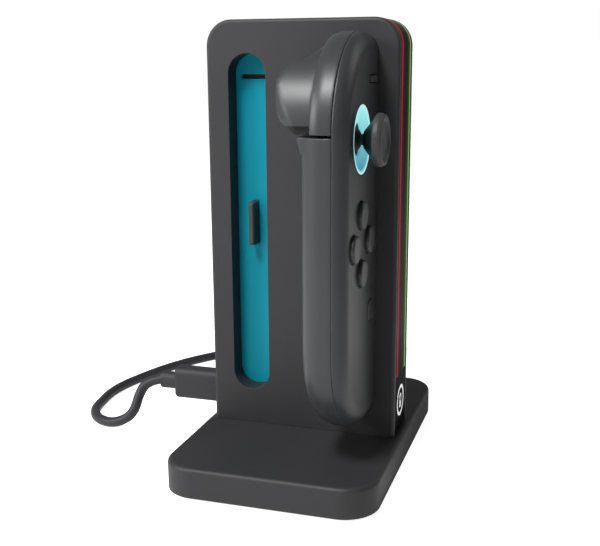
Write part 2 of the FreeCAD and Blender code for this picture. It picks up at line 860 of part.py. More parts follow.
def pad_outline(inset, span, inner_corner):
    """The controller's front view, drawn in by inset all round and pushed along X."""
    corner = PAD_CORNER - inset
    return rounded(
        "YZ",
        (PAD_OUTER + inset, PAD_INNER - inset),
        (PAD_BOTTOM + inset, PAD_TOP - inset),
        span,
        [corner, inner_corner, inner_corner, corner],
    )


def pad_wide(inset):
    """The controller's outline without its rounded faces, far out on both sides."""
    return pad_outline(inset, (0, 30), PAD_INNER_CORNER - min(inset, PAD_WALL))


def pad_block(inset):
    """The controller's outer shape, drawn in by inset all round."""
    block = pad_outline(inset, (PAD_BACK + inset, PAD_FRONT - inset), 0)
    inner = PAD_INNER - inset
    for face, radius in ((PAD_BACK + inset, PAD_BACK_ROUND), (PAD_FRONT - inset, PAD_FRONT_ROUND)):
        block = round_edges(
            block,
            max(radius - inset, 0.4),
            lambda b, at=face: flat_at(b.XMin, b.XMax, at) and not flat_at(b.YMin, b.YMax, inner),
        )
    return block.common(pad_wide(inset))


def pad_shell():
    """Both halves of the controller's case as one hollow body."""
    shell = pad_block(0).cut(pad_block(PAD_WALL))
    shell = shell.cut(
        pill("XZ", (BAY_X, BAY_Z), (RAIL_WIDTH, RAIL_LENGTH), (PAD_INNER - PAD_WALL, PAD_INNER))
    )
    around = (RAIL_NECK + 2 * NECK_GAP, RAIL_LENGTH - 1 + 2 * NECK_GAP)
    shell = shell.cut(
        pill("XZ", (BAY_X, BAY_Z), around, (NECK_Y - NECK_GAP, PAD_INNER - PAD_WALL))
    )
    line = box(
        (SEAM_X - SEAM_LINE / 2, SEAM_X + SEAM_LINE / 2),
        (PAD_OUTER - 1, PAD_INNER + 1),
        (PAD_BOTTOM - 1, PAD_TOP + 1),
    )
    return shell.cut(line.cut(pad_block(0.3)))


def flare():
    """The swelling on the back, under the trigger, which carries the grip's curve on to it."""
    foot = spot("XZ", PAD_BACK + 0.5, GRIP_TOP - FLARE_TALL, PAD_OUTER)
    middle = spot("XZ", PAD_BACK - FLARE_OUT * 0.2, GRIP_TOP - FLARE_TALL * 0.45, PAD_OUTER)
    lip = spot("XZ", PAD_BACK - FLARE_OUT, GRIP_TOP, PAD_OUTER)
    inside = spot("XZ", PAD_BACK + PAD_WALL, GRIP_TOP, PAD_OUTER)
    curve = Part.BSplineCurve()
    curve.interpolate([foot, middle, lip])
    low = spot("XZ", PAD_BACK + PAD_WALL, GRIP_TOP - FLARE_TALL, PAD_OUTER)
    edges = [
        curve.toShape(),
        Part.LineSegment(lip, inside).toShape(),
        Part.LineSegment(inside, low).toShape(),
        Part.LineSegment(low, foot).toShape(),
    ]
    plan = rounded(
        "XY",
        (PAD_BACK - FLARE_OUT - 1, PAD_BACK + PAD_WALL),
        (PAD_OUTER + TRIGGER_TUCK, SHOULDER_END + 0.3),
        (0, PAD_TOP),
        [TRIGGER_CORNER * 0.4, 0, 0, TRIGGER_CORNER * 0.2],
    )
    return raise_face("XZ", Part.Wire(edges), PAD_WIDTH).common(plan)


def half_space(low_x, high_x):
    return box((low_x, high_x), (PAD_OUTER - 20, PAD_INNER + 20), (0, PAD_TOP + 20))


def rear_shell():
    """The back half, cut away at its upper outer quarter for the two shoulder pieces."""
    shell = pad_shell().common(half_space(0, SEAM_X))
    shell = shell.cut(
        box((0, SEAM_X + 1), (PAD_OUTER - 1, SHOULDER_END + 0.3), (GRIP_TOP, PAD_TOP + 1))
    )
    shell = shell.fuse(flare())
    ribs = box((PAD_BACK, MAIN_X - 0.3), (PAD_OUTER, SHOULDER_END + 1.8), (GRIP_TOP - 1.5, GRIP_TOP))
    upright = box(
        (PAD_BACK, MAIN_X - 0.3), (SHOULDER_END + 0.3, SHOULDER_END + 1.8), (GRIP_TOP - 1.5, PAD_TOP)
    )
    y, z = shoulder_pivot()
    lug = box((15.4, 16.9), (y - 1.6, SHOULDER_END + 1.8), (z - 1.8, PAD_TOP - 2))
    shell = shell.fuse(ribs.common(pad_block(0.6)))
    shell = shell.fuse(upright.common(pad_block(0.6)))
    shell = shell.fuse(lug)
    x, z = TRIGGER_PIVOT
    shell = shell.cut(rod("Y", PIN_RADIUS, (SHOULDER_END, SHOULDER_END + 2), x, z))
    y, z = shoulder_pivot()
    shell = shell.cut(rod("X", PIN_RADIUS, (15, 17), y, z))
    for y, z in PAD_SCREWS:
        boss = rod("X", 2.6, (PAD_BACK + 0.3, 14.5), y, z)
        shell = shell.fuse(boss.common(pad_block(0.1)))
        shell = shell.cut(rod("X", 1.8, (0, 12.6), y, z))
        shell = shell.cut(rod("X", 1.05, (12, 15), y, z))
    half_y, half_z = RELEASE_SIZE[0] / 2 + BUTTON_GAP, RELEASE_SIZE[1] / 2 + BUTTON_GAP
    return shell.cut(
        box((0, 12), (RELEASE_Y - half_y, RELEASE_Y + half_y), (RELEASE_Z - half_z, RELEASE_Z + half_z))
    )


def button_hole(size, y, z, radius):
    """A hole through the controller's front wall for a rounded button."""
    half_y, half_z = size[0] / 2 + BUTTON_GAP, size[1] / 2 + BUTTON_GAP
    return rounded(
        "YZ",
        (y - half_y, y + half_y),
        (z - half_z, z + half_z),
        (FRONT_WALL - 1, PAD_FRONT + 1),
        [radius + BUTTON_GAP] * 4,
    )


def front_shell():
    """The front half, with the stick's opening and the button holes."""
    shell = pad_shell().common(half_space(SEAM_X, PAD_FRONT + 1))
    for y, z in PAD_SCREWS:
        shell = shell.fuse(rod("X", 1.9, (14.5, PAD_FRONT - 1), y, z))
        shell = shell.cut(rod("X", 0.95, (14, 20.5), y, z))
    shell = shell.cut(rod("X", RING_RADIUS, (SEAM_X, PAD_FRONT + 1), STICK_Y, STICK_Z))
    for y, z in cross_places():
        shell = shell.cut(rod("X", CROSS_RADIUS + BUTTON_GAP, (SEAM_X, PAD_FRONT + 1), y, z))
    shell = shell.cut(button_hole(MINUS_SIZE, MINUS_Y, MINUS_Z, 0.3))
    shell = shell.cut(button_hole((CAPTURE_SIZE, CAPTURE_SIZE), CAPTURE_Y, CAPTURE_Z, 1.2))
    return shell


def pad_screws():
    screws = []
    for y, z in PAD_SCREWS:
        head = rod("X", 1.7, (11.6, 12.6), y, z)
        screws.append(head.fuse(rod("X", 0.95, (12.6, 20.2), y, z)))
    return screws


def socket_size():
    return (TONGUE_THICK + 2 * SOCKET_GAP, TONGUE_HEIGHT + 2 * SOCKET_GAP)


def rail_faces():
    """The rail's face by the bay floor, and the back of that wall."""
    face = -FLOOR_Y - RAIL_FLOOR_GAP
    return face, face - RAIL_WALL


def rail():
    """The coloured rail that goes into a bay, hollow from the controller's side."""
    face, wall = rail_faces()
    back = PAD_INNER - PAD_WALL
    middle = (BAY_X, BAY_Z)
    body = pill("XZ", middle, (RAIL_WIDTH, RAIL_LENGTH), (back, face))
    body = round_edges(body, 0.5, lambda b: flat_at(b.YMin, b.YMax, face))
    neck = pill("XZ", middle, (RAIL_NECK, RAIL_LENGTH - 1), (NECK_Y, back))
    body = body.fuse(neck)
    body = body.cut(pill("XZ", middle, (RAIL_NECK - 2, RAIL_LENGTH - 3), (back - 2, wall)))
    wide, tall = socket_size()
    body = body.cut(
        box(
            (BAY_X - wide / 2, BAY_X + wide / 2),
            (wall - 1, face + 1),
            (TONGUE_Z - tall / 2, TONGUE_Z + tall / 2),
        )
    )
    for z in side_button_heights():
        wide = SIDE_BUTTON_SIZE[0] + 2 * BUTTON_GAP
        tall = SIDE_BUTTON_SIZE[1] + 2 * BUTTON_GAP
        body = body.cut(pill("XZ", (BAY_X, z), (wide, tall), (wall - 1, face + 1)))
    body = body.cut(rod("Y", SYNC_RADIUS + BUTTON_GAP, (wall - 1, face + 1), BAY_X, BAY_Z - SYNC_OFFSET))
    for light in player_lights():
        body = body.cut(light)
    return body.removeSplitter()


def side_button_heights():
    return [BAY_Z - SIDE_BUTTON_OFFSET, BAY_Z + SIDE_BUTTON_OFFSET]


def side_button(z):
    """One of the two long buttons on the rail, with its retaining flange."""
    face, wall = rail_faces()
    cap = pill("XZ", (BAY_X, z), SIDE_BUTTON_SIZE, (wall - 1.5, face - 0.1))
    size = (SIDE_BUTTON_SIZE[0] + FLANGE * 2, SIDE_BUTTON_SIZE[1] + FLANGE * 2)
    return cap.fuse(pill("XZ", (BAY_X, z), size, (wall - 1.5, wall - 0.3))).removeSplitter()


def sync_button():
    face, wall = rail_faces()
    z = BAY_Z - SYNC_OFFSET
    cap = rod("Y", SYNC_RADIUS, (wall - 1.2, face - 0.1), BAY_X, z)
    return cap.fuse(rod("Y", SYNC_RADIUS + FLANGE, (wall - 1.2, wall - 0.3), BAY_X, z))


def player_lights():
    """Four small light windows in a row, above the rail's socket."""
    face, wall = rail_faces()
    half = LIGHT_SIZE / 2
    lights = []
    for number in range(LIGHT_COUNT):
        z = BAY_Z + LIGHT_START + number * LIGHT_PITCH
        lights.append(box((BAY_X - half, BAY_X + half), (wall, face), (z - half, z + half)))
    return lights


def rail_socket():
    """The socket block behind the rail, which takes the bay's tongue."""
    wall = rail_faces()[1]
    wide, tall = socket_size()
    back = -FLOOR_Y - TONGUE_OUT - 1.6
    block = box(
        (BAY_X - wide / 2 - 1.4, BAY_X + wide / 2 + 1.4),
        (back, wall),
        (TONGUE_Z - tall / 2 - 1.6, TONGUE_Z + tall / 2 + 1.6),
    )
    return block.cut(
        box(
            (BAY_X - wide / 2, BAY_X + wide / 2),
            (back + 1.0, wall),
            (TONGUE_Z - tall / 2, TONGUE_Z + tall / 2),
        )
    )


def pad_board():
    """The controller's own board, which follows the case's rounded outline."""
    outer = PAD_OUTER + MAIN_INSET
    corner = min(PAD_CORNER - MAIN_INSET, MAIN_INNER - outer - 0.5)
    return rounded(
        "YZ",
        (outer, MAIN_INNER),
        (PAD_BOTTOM + MAIN_INSET, PAD_TOP - MAIN_INSET),
        (MAIN_X, MAIN_X + MAIN_THICK),
        [corner, 0, 0, corner],
    )


def pad_battery():
    return rounded("YZ", BATTERY_Y, BATTERY_Z, (BATTERY_X, MAIN_X - 0.3), [1.5] * 4)


def rumble_motor():
    """The vibration unit in the grip."""
    return rounded("YZ", MOTOR_Y, MOTOR_Z, (MOTOR_X, MAIN_X), [2.0] * 4)


def pad_magnets():
    """Two keeper plates inside the rail, over the bay's magnets."""
    wall = rail_faces()[1]
    plates = []
    for side in (-1, 1):
        z = BAY_Z + side * (MAGNET_OFFSET + 12.5)
        plates.append(box((BAY_X - 3, BAY_X + 3), (wall - 1.6, wall), (z - 2.2, z + 2.2)))
    return plates


# ---------------------------------------------------------------- controller buttons


def cross_places():
    """The four direction buttons: up, right (inner), down and left (outer)."""
    return [
        (CROSS_Y, CROSS_Z + CROSS_STEP),
        (CROSS_Y + CROSS_STEP, CROSS_Z),
        (CROSS_Y, CROSS_Z - CROSS_STEP),
        (CROSS_Y - CROSS_STEP, CROSS_Z),
    ]


def cross_button(y, z):
    """A round direction button with a soft rim and a flange behind the wall."""
    top = PAD_FRONT + CROSS_PROUD
    low = FRONT_WALL - 0.3 - FLANGE_THICK
    cap = rod("X", CROSS_RADIUS, (low, top), y, z)
    cap = round_edges(cap, 0.6, lambda b: flat_at(b.XMin, b.XMax, top))
    return cap.fuse(rod("X", CROSS_RADIUS + FLANGE, (low, low + FLANGE_THICK), y, z))


def bar_button(size, y, z, proud, radius):
    """A small rounded bar or square button with its flange."""
    low = FRONT_WALL - 0.3 - FLANGE_THICK

    def slab(grow, w):
        return rounded(
            "YZ",
            (y - size[0] / 2 - grow, y + size[0] / 2 + grow),
            (z - size[1] / 2 - grow, z + size[1] / 2 + grow),
            w,
            [radius + grow] * 4,
        )

    top = PAD_FRONT + proud
    rim = min(0.25, radius * 0.8)
    cap = round_edges(slab(0, (low, top)), rim, lambda b: flat_at(b.XMin, b.XMax, top))
    flange = slab(FLANGE, (low, low + FLANGE_THICK))
    limit = box((low, top), (PAD_OUTER, NECK_Y - NECK_GAP), (PAD_BOTTOM, PAD_TOP))
    return cap.fuse(flange.common(limit))


def button_mat():
    """The rubber mat under the direction buttons, with a dome for each."""
    reach = CROSS_STEP + CROSS_RADIUS + 1.0
    top = FRONT_WALL - 0.3 - FLANGE_THICK - CROSS_TRAVEL - 0.2
    mat = rounded(
        "YZ",
        (CROSS_Y - reach, CROSS_Y + reach - 1.5),
        (CROSS_Z - reach, CROSS_Z + reach),
        (MAIN_X + MAIN_THICK, MAIN_X + MAIN_THICK + 1.0),
        [2.0] * 4,
    )
    for y, z in cross_places():
        mat = mat.fuse(rod("X", 1.9, (MAIN_X + MAIN_THICK, top), y, z))
    return mat


def release_button():
    """The catch release on the controller's back."""
    half_y, half_z = RELEASE_SIZE[0] / 2, RELEASE_SIZE[1] / 2
    y = (RELEASE_Y - half_y, RELEASE_Y + half_y)
    z = (RELEASE_Z - half_z, RELEASE_Z + half_z)
    deep = PAD_BACK + RELEASE_DEEP
    x = (PAD_BACK - RELEASE_PROUD, deep)
    cap = rounded("YZ", y, z, x, [1.2] * 4)
    cap = round_edges(cap, 0.4, lambda b: flat_at(b.XMin, b.XMax, x[0]))
    flange = box((PAD_BACK + PAD_WALL + 0.2, deep), (y[0] - FLANGE, y[1]), (z[0] + 0.5, z[1] - 0.5))
    return cap.fuse(flange)


# ---------------------------------------------------------------- stick


def stick_ring():
    """The lit ring round the stick, dished towards its hole."""
    rim = Vector(PAD_FRONT, STICK_Y, STICK_Z)
    profile = [
        (PAD_FRONT - 2.0, RING_HOLE),
        (PAD_FRONT - 2.0, RING_RADIUS),
        (PAD_FRONT, RING_RADIUS),
        (PAD_FRONT, RING_RADIUS - 0.5),
        (PAD_FRONT - RING_DISH, RING_HOLE),
    ]
    return turned(profile, rim)


def turned(profile, centre):
    """A solid turned about the X line through centre, from (x, radius) points."""
    points = [Vector(x, centre.y + radius, centre.z) for x, radius in profile]
    face = Part.Face(Part.makePolygon(points + [points[0]]))
    return face.revolve(Vector(0, centre.y, centre.z), Vector(1, 0, 0), 360)


def stick_housing():
    """The module's box on the board, open towards the ring."""
    outer, inner = HOUSING_OUTER, HOUSING_OUTER - HOUSING_WALL
    low, high = MAIN_X + MAIN_THICK, PAD_FRONT - 2.1
    y, z = STICK_Y, STICK_Z
    case = box((low, high), (y - outer, y + outer), (z - outer, z + outer))
    floor = low + HOUSING_FLOOR
    case = case.cut(box((floor, high), (y - inner, y + inner), (z - inner, z + inner)))
    return case.cut(rod("X", HOUSING_HOLE, (low, floor), y, z))


def stick_frame():
    """The square frame that carries the gimbal and goes down with a press."""
    outer, inner = FRAME_OUTER, FRAME_INNER
    x = (PIVOT_X - FRAME_THICK / 2, PIVOT_X + FRAME_THICK / 2)
    y, z = STICK_Y, STICK_Z
    frame = box(x, (y - outer, y + outer), (z - outer, z + outer))
    frame = frame.cut(rod("X", inner, (x[0] - 1, x[1] + 1), y, z))
    hole = TRUNNION_RADIUS + TRUNNION_GAP
    return frame.cut(rod("Z", hole, (z - outer - 1, z + outer + 1), PIVOT_X, y))


def stick_yoke():
    """The gimbal's ring, on trunnions in the frame."""
    x = (PIVOT_X - YOKE_THICK / 2, PIVOT_X + YOKE_THICK / 2)
    y, z = STICK_Y, STICK_Z
    ring = rod("X", YOKE_OUTER, x, y, z)
    reach = FRAME_OUTER - 0.3
    ring = ring.fuse(rod("Z", TRUNNION_RADIUS, (z - reach, z + reach), PIVOT_X, y))
    ring = ring.cut(rod("X", YOKE_INNER, (x[0] - 1, x[1] + 1), y, z))
    hole = TRUNNION_RADIUS + TRUNNION_GAP
    return ring.cut(rod("Y", hole, (y - YOKE_OUTER - 1, y + YOKE_OUTER + 1), PIVOT_X, z))


def stick_shaft():
    """The ball and shaft, on trunnions in the yoke."""
    centre = Vector(PIVOT_X, STICK_Y, STICK_Z)
    ball = Part.makeSphere(BALL_RADIUS, centre)
    shaft = rod("X", SHAFT_RADIUS * 0.8, (PIVOT_X, cap_top() - 1.4), STICK_Y, STICK_Z)
    reach = YOKE_OUTER - 0.1
    pins = rod("Y", TRUNNION_RADIUS, (STICK_Y - reach, STICK_Y + reach), PIVOT_X, STICK_Z)
    return ball.fuse(shaft).fuse(pins)


def stick_boot():
    """The dark dome that closes the ring's hole however the stick leans."""
    centre = Vector(PIVOT_X, STICK_Y, STICK_Z)
    dome = Part.makeSphere(BOOT_RADIUS, centre).cut(Part.makeSphere(BOOT_RADIUS - BOOT_WALL, centre))
    dome = dome.common(half_space(PIVOT_X + BOOT_START, PAD_FRONT + 10))
    return dome.cut(rod("X", SHAFT_RADIUS * 0.8, (PIVOT_X, PAD_FRONT + 5), STICK_Y, STICK_Z))


def cap_top():
    return PAD_FRONT + CAP_TOP_OUT


def leant_back(out, radius):
    """Where the upright cap may reach, to clear the point (out, radius) when leant.

    The stick is leant as far as it goes about both axes, and clicked in.
    """
    lean = math.acos(math.cos(math.radians(STICK_LEAN)) ** 2)
    rise = out + STICK_CLICK + CAP_CLEAR - PIVOT_X
    back = (rise * math.cos(lean) + radius * math.sin(lean), radius * math.cos(lean) - rise * math.sin(lean))
    return (PIVOT_X + back[0], back[1])


def on_line(first, last, radius):
    """The point of that radius on the line through two (x, radius) points."""
    share = (radius - first[1]) / (last[1] - first[1])
    return (first[0] + share * (last[0] - first[0]), radius)


def stick_cap():
    """The thumb cap: a neck, a disc with a sloping underside, and a rim round a dish.

    The underside just clears the ring and the controller's face at the greatest lean.
    """
    top = cap_top()
    hole = leant_back(PAD_FRONT - RING_DISH, RING_HOLE)
    rim = leant_back(PAD_FRONT, RING_RADIUS - 0.5)
    face = leant_back(PAD_FRONT, RING_RADIUS + 2)
    edge = on_line(rim, face, CAP_RADIUS - 0.2)
    profile = [
        (PAD_FRONT + CAP_NECK_OUT, SHAFT_RADIUS * 0.8),
        (PAD_FRONT + CAP_NECK_OUT, CAP_NECK),
        on_line(hole, rim, CAP_NECK + 0.6),
        rim,
        edge,
        (edge[0] + 0.3, CAP_RADIUS),
        (top - 1.0, CAP_RADIUS),
        (top - 0.2, CAP_RADIUS - 0.4),
        (top, CAP_RADIUS - 1.0),
        (top - 0.1, CAP_RADIUS - 1.5),
        (top - 0.6, CAP_RADIUS - 2.1),
        (top - 0.9, 0),
        (top - 1.4, 0),
        (top - 1.4, SHAFT_RADIUS * 0.8),
    ]
    return turned(profile, Vector(0, STICK_Y, STICK_Z))


# ---------------------------------------------------------------- shoulder pieces


def shoulder_pivot():
    """The y and z of the shoulder button's hinge line."""
    return SHOULDER_END - 2.2, PAD_TOP - 3.2


def shoulder_button():
    """The strip over the controller's outer top corner, with a rib and a knuckle."""
    low, high = SHOULDER_X, SEAM_X - 0.15
    zone = box((low, high), (PAD_OUTER - 1, SHOULDER_END), (GRIP_TOP + SLIT, PAD_TOP + 1))
    strip = pad_block(0).common(zone).cut(pad_block(SHOULDER_SKIN))
    rib_zone = box((17.2, high), (PAD_OUTER, SHOULDER_END), (GRIP_TOP + SLIT, PAD_TOP))
    rib = pad_block(SHOULDER_SKIN - 0.2).common(rib_zone).cut(pad_block(SHOULDER_SKIN + SHOULDER_RIB))
    y, z = shoulder_pivot()
    knuckle = rod("X", 1.9, (17.2, high), y, z)
    strip = join(strip, rib, knuckle)
    return strip.cut(rod("X", PIN_RADIUS + PIN_GAP, (10, 25), y, z))


def shoulder_pin():
    y, z = shoulder_pivot()
    return rod("X", PIN_RADIUS, (15.4, SEAM_X - 0.4), y, z)


def trigger_side(shift):
    """The trigger's side view, pushed along Y. The bulge is at its left."""
    x, z = TRIGGER_TIP + shift, GRIP_TOP
    right = SHOULDER_X + TRIGGER_LIP + shift
    start = spot("XZ", right, z + SLIT, PAD_OUTER - 1)
    heel = spot("XZ", PAD_BACK - FLARE_OUT + shift, z + SLIT, PAD_OUTER - 1)
    bulge = [
        spot("XZ", x + 4.4, z + 2.8, PAD_OUTER - 1),
        spot("XZ", x + 2.2, z + 4.4, PAD_OUTER - 1),
        spot("XZ", x + 0.5, z + 6.8, PAD_OUTER - 1),
        spot("XZ", x, z + 9.4, PAD_OUTER - 1),
        spot("XZ", x + 0.4, z + 13.2, PAD_OUTER - 1),
        spot("XZ", x + 1.5, z + 16.6, PAD_OUTER - 1),
        spot("XZ", x + 3.8, z + 18.7, PAD_OUTER - 1),
        spot("XZ", x + 8.0, z + 20.8, PAD_OUTER - 1),
        spot("XZ", x + 10.4, z + 23.6, PAD_OUTER - 1),
        spot("XZ", right, z + 26.8, PAD_OUTER - 1),
    ]
    curve = Part.BSplineCurve()
    curve.interpolate(bulge)
    edges = [
        Part.LineSegment(start, heel).toShape(),
        Part.LineSegment(heel, bulge[0]).toShape(),
        curve.toShape(),
        Part.LineSegment(bulge[-1], start).toShape(),
    ]
    return raise_face("XZ", Part.Wire(edges), PAD_WIDTH + 2)


def trigger_plan(inset):
    """The trigger's view from above, with its large outer corner."""
    tip = TRIGGER_TIP - 0.6 + inset
    outer = PAD_OUTER + TRIGGER_TUCK + inset
    inner = SHOULDER_END - inset
    return rounded(
        "XY",
        (tip, 30),
        (outer, inner),
        (GRIP_TOP, PAD_TOP + 5),
        [TRIGGER_CORNER - inset, 0, 0, max(3.0 - inset, 0.5)],
    )


def trigger():
    """The bulging trigger, hollow from inside, on two ears round its hinge pin."""
    body = trigger_side(0).common(trigger_plan(0)).common(pad_wide(TRIGGER_TUCK))
    hollow = trigger_side(TRIGGER_WALL).common(trigger_plan(TRIGGER_WALL))
    hollow = hollow.common(pad_wide(TRIGGER_TUCK + TRIGGER_WALL))
    hollow = hollow.common(box((0, 30), (PAD_OUTER, PAD_INNER), (GRIP_TOP + 3.7, PAD_TOP)))
    outer_ear = box((0, 30), (-33.0, -31.5), (GRIP_TOP, PAD_TOP))
    body = body.cut(hollow.cut(outer_ear))
    body = body.cut(box((13.4, 30), (PAD_OUTER + TRIGGER_TUCK + 1.3, PAD_INNER), (0, 118.5)))
    x, z = TRIGGER_PIVOT
    return body.cut(rod("Y", PIN_RADIUS + PIN_GAP, (PIN_OUTER - PIN_GAP, PAD_INNER), x, z))


def trigger_pin():
    x, z = TRIGGER_PIVOT
    return rod("Y", PIN_RADIUS, (PIN_OUTER, SHOULDER_END + 1.8), x, z)


# ---------------------------------------------------------------- the whole model


def build_base():
    save("base_cover", base_cover())
    save("base_plate", base_plate())
    save("base_screws", *base_screws())
    save("rubber_feet", *feet())
    save("ballast_plate", ballast())


def build_tower():
    save("front_panel", front_panel())
    save("rear_panel", rear_panel())
    save("side_band", side_band())
    save("charge_mark", *charge_mark())
    save("tower_foot", tower_foot())
    save("tower_screws", *tower_screws())
    save("main_board", main_board())
    save("board_parts", *board_parts())
    save("status_leds", *status_leds())
    save("usb_port", usb_port())
    charging, *charged = light_lines(-0.05)
    save("light_line_charging", charging)
    save("light_lines_charged", *charged)
    save("bay_floors", *four_ways(bay_floor()))
    save("bay_tongues", *four_ways(bay_tongue()))
    contacts = [piece for strip in bay_contacts() for piece in four_ways(strip)]
    save("bay_contacts", *contacts)
    magnets = [piece for magnet in bay_magnets() for piece in four_ways(magnet)]
    save("bay_magnets", *magnets)


def build_cord():
    radius = CORD_DIAMETER / 2
    wound = coil()
    save("usb_plug_shell", plug_shell())
    save("usb_plug_body", plug_body())
    save("cord_run", tube(cord_route(), radius, "cord_run").cut(wound))
    save("cord_coil", wound)
    save("cord_tail", tube(cord_tail_route(), radius, "cord_tail").cut(wound))
    save("cord_tie", cord_tie())
    body, shell = big_plug()
    save("far_plug_body", body)
    save("far_plug_shell", shell)


def build_controller():
    save("pad_rear_shell", rear_shell())
    save("pad_front_shell", front_shell())
    save("pad_screws", *pad_screws())
    save("pad_rail", rail())
    save("pad_rail_socket", rail_socket())
    save("pad_board", pad_board())
    save("pad_battery", pad_battery())
    save("rumble_motor", rumble_motor())
    save("keeper_plates", *pad_magnets())
    save("player_lights", *player_lights())
    save("button_mat", button_mat())
    for name, (y, z) in zip(("up", "right", "down", "left"), cross_places()):
        save(f"direction_button_{name}", cross_button(y, z))
    save("minus_button", bar_button(MINUS_SIZE, MINUS_Y, MINUS_Z, MINUS_PROUD, 0.3))
    square = (CAPTURE_SIZE, CAPTURE_SIZE)
    save("capture_button", bar_button(square, CAPTURE_Y, CAPTURE_Z, CAPTURE_PROUD, 1.2))
    low, high = side_button_heights()
    save("side_button_lower", side_button(low))
    save("side_button_upper", side_button(high))
    save("sync_button", sync_button())
    save("release_button", release_button())
    save("stick_ring", stick_ring())
    save("stick_housing", stick_housing())
    save("stick_frame", stick_frame())
    save("stick_yoke", stick_yoke())
    save("stick_shaft", stick_shaft())
    save("stick_boot", stick_boot())
    save("stick_cap", stick_cap())
    save("shoulder_button", shoulder_button())
    save("trigger", trigger())
    save("hinge_pins", shoulder_pin(), trigger_pin())


build_base()
build_tower()
build_cord()
build_controller()
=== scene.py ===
# A charging stand for handheld-console controllers, with one controller docked.
# The sections follow the stand as it is put together. Sizes are in metres.

import math

import bpy
from mathutils import Euler, Matrix, Vector


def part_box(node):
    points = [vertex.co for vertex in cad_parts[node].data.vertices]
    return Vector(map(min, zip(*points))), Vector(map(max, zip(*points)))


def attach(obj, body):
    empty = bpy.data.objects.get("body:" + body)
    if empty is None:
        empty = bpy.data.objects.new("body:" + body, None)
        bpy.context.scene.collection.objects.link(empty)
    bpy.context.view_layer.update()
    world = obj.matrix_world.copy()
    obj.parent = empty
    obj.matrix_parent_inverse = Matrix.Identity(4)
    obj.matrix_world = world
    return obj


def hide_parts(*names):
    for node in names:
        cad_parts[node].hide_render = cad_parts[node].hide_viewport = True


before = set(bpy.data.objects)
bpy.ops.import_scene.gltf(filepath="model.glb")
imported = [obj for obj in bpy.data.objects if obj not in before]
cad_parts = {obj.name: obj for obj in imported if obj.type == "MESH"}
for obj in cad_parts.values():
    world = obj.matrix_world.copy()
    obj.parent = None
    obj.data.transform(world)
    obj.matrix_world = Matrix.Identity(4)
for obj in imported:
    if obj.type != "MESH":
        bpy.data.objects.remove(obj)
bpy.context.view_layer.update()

# ---------------------------------------------------------------- viewpoint
# The stand is seen from its front right corner, a little above its top, with a
# short portrait lens. The right side of the tower is only just in view.

VIEW_FROM = Vector((0.08414, -0.27305, 0.12221))
VIEW_TURN = math.radians(17.35)
VIEW_DOWN = math.radians(12.66)
VIEW_ROLL = math.radians(-0.25)

viewer = bpy.data.objects.new("viewer", bpy.data.cameras.new("viewer"))
bpy.context.scene.collection.objects.link(viewer)
facing = Euler((math.pi / 2 - VIEW_DOWN, 0, VIEW_TURN)).to_matrix()
viewer.matrix_world = Matrix.Translation(VIEW_FROM) @ (
    facing @ Matrix.Rotation(VIEW_ROLL, 3, "Z")
).to_4x4()
viewer.data.lens = 55.6
viewer.data.sensor_width = 36.0
viewer.data.shift_x = -0.0113
viewer.data.shift_y = -0.0008
viewer.data.clip_start = 0.01
bpy.context.scene.camera = viewer
bpy.context.scene.view_settings.view_transform = "Standard"

# ---------------------------------------------------------------- base
# The base is a thick ABS moulding with a fine matt grain, closed by a plate that is
# screwed on from below. A steel weight lies inside, and rubber feet cover the screws.


def new_group(name, inputs, outputs):
    """An empty node group with float inputs, and outputs of the kinds given."""
    group = bpy.data.node_groups.new(name, "ShaderNodeTree")
    for label, value in inputs:
        socket = group.interface.new_socket(label, in_out="INPUT", socket_type="NodeSocketFloat")
        socket.default_value = value
    for label, kind in outputs:
        group.interface.new_socket(label, in_out="OUTPUT", socket_type=kind)
    return group, group.nodes.new("NodeGroupInput"), group.nodes.new("NodeGroupOutput")


def arithmetic(tree, operation, first, second):
    """A math node on two values, each a socket or a number. Gives its output."""
    node = tree.nodes.new("ShaderNodeMath")
    node.operation = operation
    for socket, value in zip(node.inputs, (first, second)):
        if isinstance(value, (int, float)):
            socket.default_value = value
        else:
            tree.links.new(value, socket)
    return node.outputs[0]


